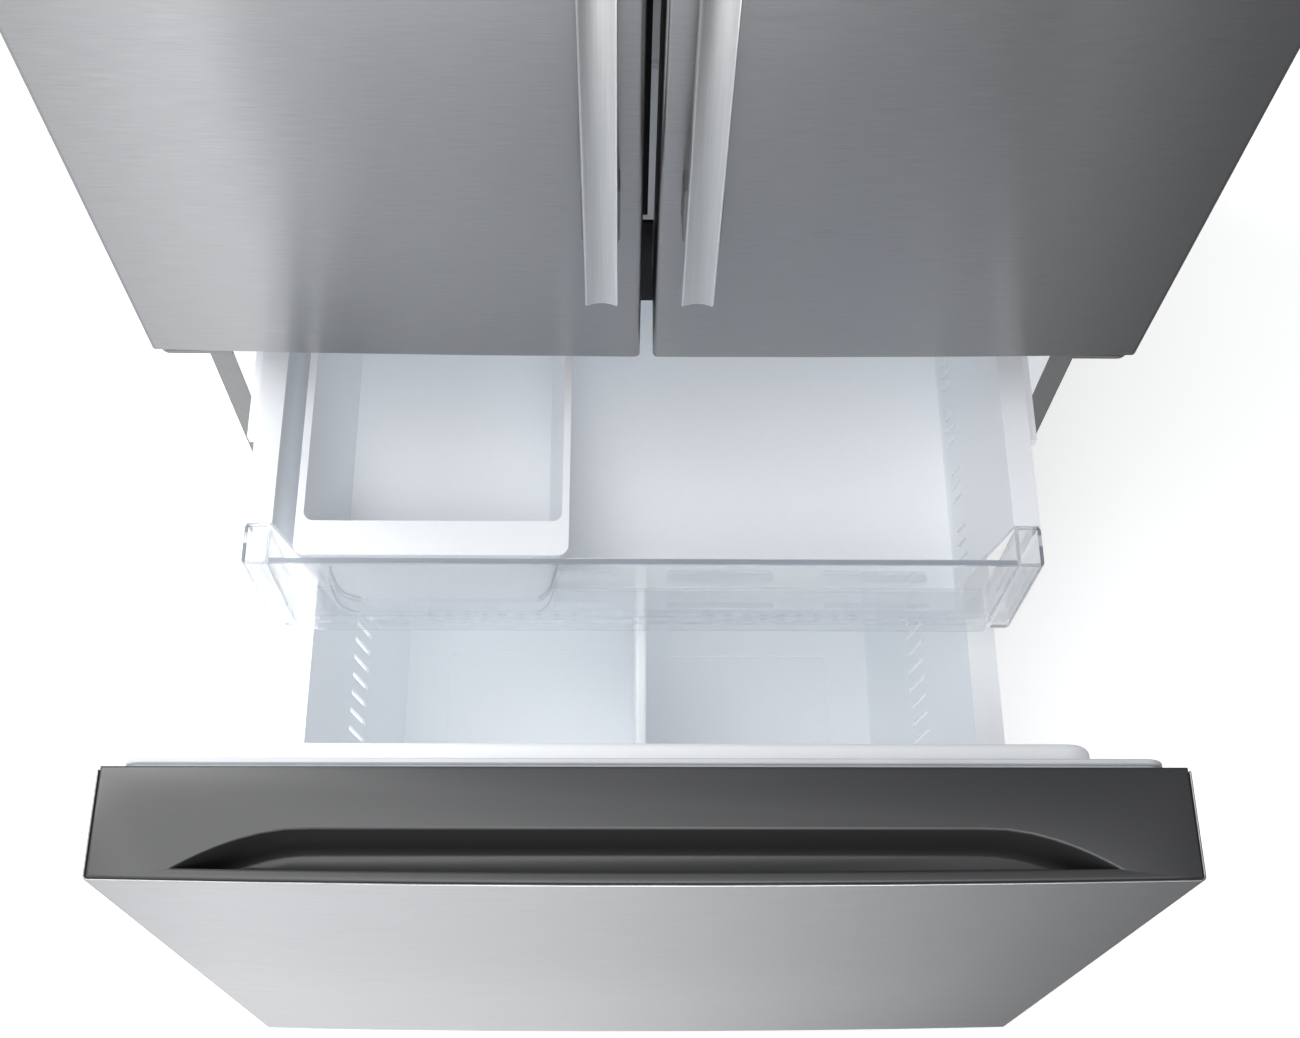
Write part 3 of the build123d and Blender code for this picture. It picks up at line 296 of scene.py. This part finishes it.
def door_seal(name, node, body):
    """A soft seal round a door's back, in place of the node's plain frame."""
    low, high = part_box(node)
    bm = bmesh.new()
    loops = []
    for inset, height in SEAL_PROFILE:
        i = inset * MM
        corner = 14 * MM - i
        ring = rounded_rectangle((low.x + i, high.x - i), (low.z + i, high.z - i), corner)
        loops.append([(x, low.y + height * MM, z) for x, z in ring])
    bridge(bm, loops, wrap=True)
    piece_from(bm, name, ["seal"], body, [node])


for word in ("left_door", "right_door"):
    door_seal(f"{word}_seal", f"{word}_gasket", word)
door_seal("freezer_seal", "freezer_gasket", "drawer")


# ---------------------------------------------------------------- handles
HANDLE_WIDE, HANDLE_DEEP, DISH = 22 * MM, 12 * MM, 2.2 * MM
RIM = 1.3 * MM
FOOT_OVERHANG = 1.5 * MM


def handle_profile():
    """Points round the bar's section, across from one side, and whether each starts a rim face."""
    points, polished = [], []

    def add(across, deep, rim=False):
        points.append((across, deep))
        polished.append(rim)

    add(0, 1.2 * MM, True)
    add(0.15 * MM, 0.4 * MM, True)
    add(0.5 * MM, 0, True)
    add(RIM, 0.15 * MM)
    steps = 14
    for i in range(1, steps):
        t = i / steps
        hollow = 0.15 * MM + DISH * math.sin(math.pi * t) ** 0.8
        add(RIM + (HANDLE_WIDE - 2 * RIM) * t, hollow)
    add(HANDLE_WIDE - RIM, 0.15 * MM, True)
    add(HANDLE_WIDE - 0.5 * MM, 0, True)
    add(HANDLE_WIDE - 0.15 * MM, 0.4 * MM, True)
    add(HANDLE_WIDE, 1.2 * MM)
    for centre, start in ((HANDLE_WIDE - 3 * MM, 0), (3 * MM, 90)):
        for i in range(5):
            angle = math.radians(start + 22.5 * i)
            across = centre + 3 * MM * math.cos(angle)
            add(across, HANDLE_DEEP - 3 * MM + 3 * MM * math.sin(angle))
    return points, polished


def door_handle(word):
    """A door's bar handle: a dished front between two bright rims, with round ends."""
    low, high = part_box(f"{word}_handle")
    section, polished = handle_profile()
    centre = (HANDLE_WIDE / 2, HANDLE_DEEP / 2)
    ends = ((low.z, 0.6 * MM), (low.z + 0.3 * MM, 0.15 * MM), (low.z + 0.9 * MM, 0))
    ends += ((high.z - 0.9 * MM, 0), (high.z - 0.3 * MM, 0.15 * MM), (high.z, 0.6 * MM))
    start = low.x + FOOT_OVERHANG
    loops = []
    for z, shrink in ends:
        loop = []
        for across, deep in section:
            a = across + math.copysign(min(shrink, abs(centre[0] - across)), centre[0] - across)
            d = deep + math.copysign(min(shrink, abs(centre[1] - deep)), centre[1] - deep)
            loop.append((start + a, low.y + d, z))
        loops.append(loop)
    bm = bmesh.new()
    rows = bridge(bm, loops, material=lambda r, i: int(r != 2 or polished[i]))
    for row in (rows[0], rows[-1]):
        bm.faces.new(row)
    piece_from(bm, f"{word}_grip", ["handle_steel", "handle_rim"], f"{word}_door",
               [f"{word}_handle"], 50)


FOOT_HEIGHTS = (70 * MM, 45 * MM)  # from the bar's end to the foot's middle, and its long side


def handle_feet(word):
    """Two feet that widen from the door to the back of the bar."""
    low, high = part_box(f"{word}_handle")
    middle, tall = FOOT_HEIGHTS
    bar_back = low.y + HANDLE_DEEP - 0.4 * MM
    bm = bmesh.new()
    for centre, up in ((low.z + middle, 1), (high.z - middle, -1)):
        loops = []
        for share in (0, 0.12, 0.3, 0.5, 0.7, 0.88, 1):
            ease = 1 - (1 - share) ** 2
            y = high.y + (bar_back - high.y) * share
            outer = centre + up * (20 * MM + (tall - 20 * MM) * share**2)
            inner = centre - up * (30 * MM - 20 * MM * ease)
            z = sorted((outer, inner))
            ring = rounded_rectangle((low.x, high.x), z, 3 * MM)
            loops.append([(x, y, h) for x, h in ring])
        rows = bridge(bm, loops)
        for row in (rows[0], rows[-1]):
            bm.faces.new(row)
    # the feet wear the darker painted-shade finish
    piece_from(bm, f"{word}_handle_feet", ["handle_foot_shade"], f"{word}_door")


for word in ("left", "right"):
    door_handle(word)
    handle_feet(word)


# ---------------------------------------------------------------- the drawer's pocket handle
POCKET_REAR, POCKET_LIP = 35 * MM, 10 * MM  # its two long edges, behind the drawer's face
POCKET_STRAIGHT, POCKET_TIP = 236 * MM, 314 * MM  # half lengths of its rear and front edges
POCKET_FORWARD = 23.5 * MM  # how far the rear edge comes forward at the tips
POCKET_CURVE = 1.85  # how late it does
POCKET_SECTION = (  # how far the outline grows, and how deep under the top, in mm
    (3.5, -3), (2.2, 0), (0.9, 0.35), (0.25, 1.0), (0, 2.2), (-1.5, 12), (-3, 24), (-4.2, 33),
    (-5.2, 36.5), (-7, 38.8), (-9.5, 40),
)
CAP_EDGE = ((0, 2.6), (0.5, 1.1), (1.4, 0.3), (2.6, 0))  # inset and depth under the top, in mm


def bow_at(x, half):
    return BOW * (1 - (x / half) ** 2)


def pocket_loop(face_y, half, grow, z, steps=36):
    """The pocket's outline at a height, grown or shrunk, as points from tip to tip and back."""
    def front(x):
        return face_y + POCKET_LIP - bow_at(x, half) - grow

    def rear(x):
        past = max(0, abs(x) - POCKET_STRAIGHT) / (POCKET_TIP - POCKET_STRAIGHT)
        return face_y + POCKET_REAR - POCKET_FORWARD * past**POCKET_CURVE + grow

    low, high = 0, POCKET_TIP + 20 * MM
    for _ in range(40):
        tip = (low + high) / 2
        low, high = (tip, high) if front(tip) < rear(tip) else (low, tip)
    stations = [tip * math.sin(math.pi / 2 * (2 * i / steps - 1)) for i in range(steps + 1)]
    ahead = [(x, front(x), z) for x in stations]
    behind = [(x, rear(x), z) for x in reversed(stations[1:-1])]
    return ahead + behind


def handle_cap():
    """The grey cap along the drawer's top, with its scooped grip and rounded edges."""
    low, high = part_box("freezer_handle_cap")
    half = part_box("freezer_front_skin")[1].x
    face_y = low.y - 1.5 * MM + bow_at(0, half)
    top = high.z

    def outline(inset, z):
        x_end = high.x - inset
        count = 40
        ahead = []
        for i in range(count + 1):
            x = -x_end + 2 * x_end * i / count
            ahead.append((x, face_y + 1.5 * MM + inset - bow_at(x, half), z))
        back = high.y - inset
        return ahead + [(x_end, back, z), (-x_end, back, z)]

    bm = bmesh.new()
    rings = [(0, low.z)] + [(inset * MM, top - down * MM) for inset, down in CAP_EDGE]
    rows = bridge(bm, [outline(inset, z) for inset, z in rings])
    bm.faces.new(rows[0])
    bm.faces.new(rows[-1])
    body = piece_from(bm, "drawer_top_cap", ["cap_grey"], "drawer",
                      ["freezer_handle_cap"])

    cutter = bmesh.new()
    loops = [
        pocket_loop(face_y, half, grow * MM, top - down * MM) for grow, down in POCKET_SECTION
    ]
    rows = bridge(cutter, loops)
    cutter.faces.new(rows[0])
    cutter.faces.new(rows[-1])
    tool = piece_from(cutter, "pocket_cutter", ["cap_grey"], None)
    cut = body.modifiers.new("pocket", "BOOLEAN")
    cut.operation, cut.solver, cut.object = "DIFFERENCE", "EXACT", tool
    bpy.context.view_layer.update()
    shaped = body.evaluated_get(bpy.context.evaluated_depsgraph_get())
    mesh = bpy.data.meshes.new_from_object(shaped)
    body.modifiers.clear()
    body.data = mesh
    bpy.data.objects.remove(tool)
    mesh.shade_smooth()
    mesh.set_sharp_from_angle(angle=math.radians(32))
    return body


handle_cap()


# ---------------------------------------------------------------- beads
def tube(name, points, radius, finish, body, resolution=6):
    """A round bead along a smooth line through given points."""
    curve = bpy.data.curves.new(name, "CURVE")
    curve.dimensions = "3D"
    curve.bevel_depth, curve.bevel_resolution = radius, 2
    spline = curve.splines.new("NURBS")
    spline.points.add(len(points) - 1)
    for target, point in zip(spline.points, points):
        target.co = (*point, 1)
    spline.order_u, spline.use_endpoint_u, spline.resolution_u = 3, True, resolution
    curve.use_fill_caps = True
    piece = bpy.data.objects.new(name, curve)
    bpy.context.scene.collection.objects.link(piece)
    curve.materials.append(finishes[finish].material)
    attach(piece, body)
    return piece


# ---------------------------------------------------------------- tray's clear front
PANE_PROFILE = (  # depth behind the pane's face and height over its foot, in mm
    (0.0, 0.6), (0.0, 143.2), (0.8, 144.0), (5.2, 144.0), (6.0, 143.2), (6.0, 17.0), (10.9, 16.6),
    (11.7, 15.8), (11.7, 14.0), (34.9, 14.0), (35.5, 13.4), (35.5, 10.6), (34.9, 10.0), (6.6, 10.0),
    (6.0, 9.4), (6.0, 0.6), (5.4, 0.0), (0.6, 0.0),
)
PANE_TOP = 2  # where the profile's top face starts
POST_WIDE, POST_WALL = 21.5 * MM, 3 * MM
POST_NOTCH = (18 * MM, 27.3 * MM)  # the clear stretch of the dark shade painted along a post's outer edge
FOOT_UNDER, FOOT_TOP = 10 * MM, 14 * MM  # the foot's faces over the pane's lower edge
GAP = 0.2 * MM


def clear_pane():
    """The clear front between its posts: a thick pane with a foot that carries the tray."""
    low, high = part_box("tray_front")
    reach = high.x - POST_WIDE - GAP
    bm = bmesh.new()
    loops = []
    for x in (-reach, 0, reach):
        loops.append([(x, low.y + y * MM, low.z + z * MM) for y, z in PANE_PROFILE])
    # the top face takes the painted grey shade
    rows = bridge(bm, loops, material=lambda r, i: int(i == PANE_TOP))
    for row in (rows[0], rows[-1]):
        bm.faces.new(row)
    piece_from(bm, "tray_front_pane", ["clear_plastic", "pane_top_shade"], "tray",
               ["tray_front"], 20)


def split_sides(ring, levels):
    """The ring with points added where its long sides cross the given depths."""
    points = []
    for (ax, ay), (bx, by) in zip(ring, ring[1:] + ring[:1]):
        points.append((ax, ay))
        crossed = [y for y in levels if min(ay, by) < y < max(ay, by)]
        for y in sorted(crossed, reverse=by < ay):
            points.append((ax + (bx - ax) * (y - ay) / (by - ay), y))
    return points


def clear_post(side, word):
    """A hollow clear post, open at its top, that joins the pane to the tray's rail."""
    low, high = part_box("tray_front")
    x = sorted((side * (high.x - POST_WIDE), side * high.x))
    wall, soft = POST_WALL, 0.5 * MM
    notch = [low.y + y for y in POST_NOTCH]
    stations = (
        (soft, low.z + FOOT_UNDER), (0, low.z + FOOT_UNDER + soft), (0, high.z - soft),
        (soft, high.z), (wall - soft, high.z), (wall, high.z - soft), (wall, low.z + FOOT_TOP),
    )
    bm = bmesh.new()
    loops = []
    for inset, z in stations:
        corner = max(4 * MM - inset, 1 * MM)
        across, along = (x[0] + inset, x[1] - inset), (low.y + inset, high.y - inset)
        ring = rounded_rectangle(across, along, corner)
        loops.append([(px, py, z) for px, py in split_sides(ring, notch)])
    count = len(loops[0])

    # faces along the post's outer side that get the painted dark shade, outside the notch
    def painted_rim_shade(row, i):
        a, b = loops[0][i], loops[0][(i + 1) % count]
        at_side = side * (a[0] + b[0]) / 2 > high.x - POST_WALL
        in_notch = notch[0] < (a[1] + b[1]) / 2 < notch[1]
        return int(row in (2, 3, 4) and at_side and not in_notch)

    rows = bridge(bm, loops, material=painted_rim_shade)
    for row in (rows[0], rows[-1]):
        bm.faces.new(row)
    piece_from(bm, f"tray_front_post_{word}", ["clear_post", "painted_shade_edge"], "tray",
               (), 25)


SLOTS_X, SLOT_PITCH, SLOT_COUNT = 120.7 * MM, 15.5 * MM, 9
SLOT_LONG, SLOT_WIDE, SLOT_BACK = 6 * MM, 1 * MM, 8.5 * MM  # and how far behind the pane's face
SLOT_SECTION = ((1, 16.3), (1, 17.0), (0.85, 17.1))  # scale, and height over the pane's edge in mm


def painted_slot_shade():
    """Dark dashes painted where the pane's foot is pierced, for the shade seen through the slots.
    """
    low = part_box("tray_front")[0]
    bm = bmesh.new()
    for centre in (-SLOTS_X, SLOTS_X):
        for i in range(SLOT_COUNT):
            x = centre + (i - (SLOT_COUNT - 1) / 2) * SLOT_PITCH
            across, along = (x - SLOT_LONG / 2, x + SLOT_LONG / 2), (-SLOT_WIDE / 2, SLOT_WIDE / 2)
            ring = rounded_rectangle(across, along, 0.4 * MM, 3)
            loops = []
            for share, z in SLOT_SECTION:
                loops.append([
                    (x + (px - x) * share, low.y + SLOT_BACK + py * share, low.z + z * MM)
                    for px, py in ring
                ])
            rows = bridge(bm, loops)
            bm.faces.new(rows[0])
            bm.faces.new(rows[-1])
    piece_from(bm, "tray_painted_slot_shade", ["painted_shade_edge"], "tray")


clear_pane()
clear_post(-1, "left")
clear_post(1, "right")
painted_slot_shade()


# ---------------------------------------------------------------- ice bin's painted shadow lines
BIN_SHADOW_LINES = {  # painted shadow lines: x and z on the bin's front, and how far round its corner, in mm
    "left": (
        (-257.7, 555, 0), (-259.6, 528, 0), (-258.9, 495, 0), (-252.3, 481, 0), (-243.6, 476, 0),
    ),
    "right": (
        (-71.1, 557, 2.9), (-74.5, 530, 2.9), (-78.1, 502, 2.9), (-83.5, 486, 1.2), (-90, 478, 0),
    ),
}
BIN_LIP, BIN_LEAN = 4.4 * MM, 8 / 122  # the front's place behind the lip, and its slope


def bin_shadow_lines():
    """Two thin dark tubes along the lower corners of the ice bin's front: painted shadow lines
    where the bin meets the tray.
    """
    low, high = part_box("ice_bin")
    for word, line in BIN_SHADOW_LINES.items():
        points = []
        for x, z, round_corner in line:
            front = low.y + BIN_LIP + (high.z - 2 * MM - z * MM) * BIN_LEAN
            points.append((x * MM, front + round_corner * MM, z * MM))
        tube(f"bin_shadow_line_{word}", points, 0.9 * MM, "painted_shade_edge", "bin")


bin_shadow_lines()


# ---------------------------------------------------------------- CAD nodes
EDGES = {  # rounding of each CAD node's edges, in mm
    "outer_case": 0.4, "back_panel": 0.3, "machine_cover": 0.25, "toe_grille": 0.4,
    "left_door_skin": 0.5, "right_door_skin": 0.5, "freezer_front_skin": 0.6,
    "left_door_caps": 0.4, "right_door_caps": 0.4, "freezer_foot_cap": 0.4,
    "fridge_liner": 0.8, "freezer_liner": 0.8, "left_door_liner": 0.6, "right_door_liner": 0.6,
    "freezer_front_liner": 0.5, "left_door_bins": 0.5, "right_door_bins": 0.5,
    "shelf_frames": 0.6, "shelf_glass": 0.3, "crisper_left": 0.5, "crisper_right": 0.5,
    "pantry_drawer": 0.5, "centre_flap": 0.8, "lower_basket": 0.6, "basket_divider": 1.0,
    "upper_tray": 0.15, "tray_front": 0.5, "ice_bin": 0.6, "drawer_rails": 0.3,
    "slide_middles": 0.3, "slide_outers": 0.3, "top_hinges": 0.4, "middle_hinges": 0.5,
    "evaporator_cover": 0.4, "air_duct_cover": 0.8, "light_cover": 0.8, "water_valve": 0.4,
}

slot_of = {part["node"]: part["material_slot"] for part in frame["record"]["subparts"]}
for name, node in nodes.items():
    dress(node, slot_of[name])
    if name in EDGES:
        soften(node, EDGES[name] * MM)


# ---------------------------------------------------------------- fasteners on the back
def screw_row(name, places, body, finish):
    """Hex washer screws whose heads face backwards."""
    bm = bmesh.new()
    for x, y, z in places:
        rings = ((5.0, 0), (5.0, 0.6), (3.2, 0.8), (3.2, 2.0), (2.6, 2.4))
        loops = []
        for radius, height in rings:
            sides = [math.radians(60 * i / 4) for i in range(24)]
            if radius < 4:
                flat = [1 / max(0.866, math.cos((a + math.pi / 6) % (math.pi / 3) - math.pi / 6))
                        for a in sides]
            else:
                flat = [1] * len(sides)
            loops.append([
                (x + radius * MM * f * 0.92 * math.cos(a), y + height * MM,
                 z + radius * MM * f * 0.92 * math.sin(a)) for a, f in zip(sides, flat)
            ])
        rows = bridge(bm, loops)
        bm.faces.new(rows[0])
        bm.faces.new(rows[-1])
    return piece_from(bm, name, [finish], body)


PANEL_EDGE, COVER_EDGE = 14 * MM, 12 * MM  # from a sheet's edge to its screws
PANEL_SCREW_X, PANEL_SCREW_Z = (-0.13, 0.13), (0.75, 1.1, 1.45)
PANEL_LOWEST = 90 * MM  # from the panel's lower edge to its lowest screws
COVER_SCREW_X = (-0.2, 0.02, 0.17)
SHEET = 1.5 * MM


def back_screws():
    """Screws round the back panel's edge, and along the machine room cover's two long edges."""
    low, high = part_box("back_panel")
    face = low.y + SHEET
    xs = [low.x + PANEL_EDGE, *PANEL_SCREW_X, high.x - PANEL_EDGE]
    heights = (low.z + PANEL_LOWEST, *PANEL_SCREW_Z)
    places = [(x, face, z) for x in (xs[0], xs[-1]) for z in heights]
    places += [(x, face, high.z - PANEL_EDGE) for x in xs]
    low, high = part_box("machine_cover")
    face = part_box("outer_case")[1].y + SHEET
    for x in (low.x + COVER_EDGE, *COVER_SCREW_X, high.x - COVER_EDGE):
        places += [(x, face, z) for z in (low.z + COVER_EDGE, high.z - COVER_EDGE)]
    screw_row("back_screws", places, "cabinet", "zinc_steel")


back_screws()


# ---------------------------------------------------------------- stage, light and camera
def area_light(name, at, target, size, power):
    """A rectangular lamp at a place, aimed at a target; power in watts."""
    data = bpy.data.lights.new(name, "AREA")
    data.shape, data.size, data.size_y = "RECTANGLE", *size
    data.energy = power
    lamp = bpy.data.objects.new(name, data)
    bpy.context.scene.collection.objects.link(lamp)
    aim = Vector(target) - Vector(at)
    lamp.matrix_world = Matrix.Translation(at) @ aim.to_track_quat("-Z", "Y").to_matrix().to_4x4()


SKY_ACROSS = (  # the studio's brightness by direction, from its far left (0) to its far right (1)
    (0.0, 0.85), (0.28, 0.95), (0.38, 1.8), (0.48, 1.45), (0.55, 0.98), (0.62, 0.48), (0.70, 0.18),
    (1.0, 0.16),
)
SKY_UP = ((0.0, 0.8), (0.15, 1.25), (0.5, 0.8), (0.65, 0.65), (1.0, 0.65))  # from below to above
SKY_TOP = 2.0  # the brightest a ramp can say


def sky_ramp(tree, place, stops, tint):
    """A ramp of brightness along one axis of the direction, from -1 to 1."""
    along = tree.nodes.new("ShaderNodeMapRange")
    along.inputs["From Min"].default_value = -1
    ramp = tree.nodes.new("ShaderNodeValToRGB")
    ends = ramp.color_ramp.elements
    while len(ends) < len(stops):
        ends.new(0.5)
    for end, (position, level) in zip(ends, stops):
        end.position, end.color = position, (*[level / SKY_TOP * t for t in tint], 1)
    tree.links.new(place, along.inputs["Value"])
    tree.links.new(along.outputs["Result"], ramp.inputs["Fac"])
    return ramp.outputs["Color"]


def world_light():
    """A soft surround that fades from left to right."""
    world = bpy.data.worlds.new("studio")
    world.use_nodes = True
    bpy.context.scene.world = world
    tree = world.node_tree
    direction = tree.nodes.new("ShaderNodeTexCoord")
    axes = tree.nodes.new("ShaderNodeSeparateXYZ")
    tree.links.new(direction.outputs["Generated"], axes.inputs["Vector"])
    across = sky_ramp(tree, axes.outputs["X"], SKY_ACROSS, (0.97, 0.985, 1))
    up = sky_ramp(tree, axes.outputs["Z"], SKY_UP, (1, 1, 1))
    product = tree.nodes.new("ShaderNodeVectorMath")
    product.operation = "MULTIPLY"
    tree.links.new(across, product.inputs[0])
    tree.links.new(up, product.inputs[1])
    sky = tree.nodes["Background"]
    sky.inputs["Strength"].default_value = SKY_TOP**2
    seen = tree.nodes.new("ShaderNodeMix")  # what the camera sees of it is an even white
    seen.data_type = "RGBA"
    path = tree.nodes.new("ShaderNodeLightPath")
    tree.links.new(path.outputs["Is Camera Ray"], seen.inputs["Factor"])
    tree.links.new(product.outputs["Vector"], seen.inputs["A"])
    seen.inputs["B"].default_value = (*[1 / SKY_TOP**2] * 3, 1)
    tree.links.new(seen.outputs["Result"], sky.inputs["Color"])


def floor():
    """A pale floor that the steel doesn't mirror."""
    mesh = bpy.data.meshes.new("floor")
    bm = bmesh.new()
    bmesh.ops.create_grid(bm, x_segments=1, y_segments=1, size=9)
    bm.to_mesh(mesh)
    bm.free()
    ground = bpy.data.objects.new("floor", mesh)
    bpy.context.scene.collection.objects.link(ground)
    pale = Finish("pale_floor", (0.93, 0.93, 0.93), 0.7, Emission_Strength=0.43,
                  Emission_Color=(1, 1, 1, 1))
    pale.mottle(plain(1.5), 0.01).grain(plain(40), 0.02, 0.0005)
    mesh.materials.append(pale.material)
    ground.visible_glossy = False


EYE = (-0.0184, -0.6637, 1.8286)  # x, distance from the doors' face, and height
TURN = (64.897, 2.288, -2.310)  # pitch down, yaw and roll, in degrees
LENS = 46.6


def camera():
    """The viewpoint in front of the doors, above the open drawer, looking steeply down."""
    door_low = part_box("left_door_skin")[0]
    face = door_low.y + BOW
    pitch, yaw, roll = (math.radians(a) for a in TURN)
    forward = Vector((math.sin(yaw) * math.cos(pitch), math.cos(yaw) * math.cos(pitch),
                      -math.sin(pitch)))
    level = Vector((math.cos(yaw), -math.sin(yaw), 0))
    down = forward.cross(level)
    right = level * math.cos(roll) + down * math.sin(roll)
    down = down * math.cos(roll) - level * math.sin(roll)
    data = bpy.data.cameras.new("camera")
    data.sensor_width, data.sensor_fit, data.lens = 36, "HORIZONTAL", LENS
    data.dof.use_dof = False
    eye = bpy.data.objects.new("camera", data)
    turn = Matrix((right, -down, -forward)).transposed().to_4x4()
    eye.matrix_world = Matrix.Translation((EYE[0], face + EYE[1], EYE[2])) @ turn
    bpy.context.scene.collection.objects.link(eye)
    bpy.context.scene.camera = eye


world_light()
floor()
area_light("front_softbox", (0.3, -2.3, 3.3), (0, -0.35, 0.4), (1.6, 1.0), 20)
area_light("top_softbox", (-0.6, -1.0, 3.4), (0.05, -0.35, 0.3), (3.2, 1.0), 46)
area_light("left_key", (-3.0, -1.2, 2.0), (0, -0.3, 0.7), (2.2, 2.2), 9)
area_light("back_rim", (-1.9, 1.1, 3.0), (-0.4, -0.5, 0.7), (1.2, 1.2), 60)
camera()
bpy.context.scene.view_settings.view_transform = "Standard"
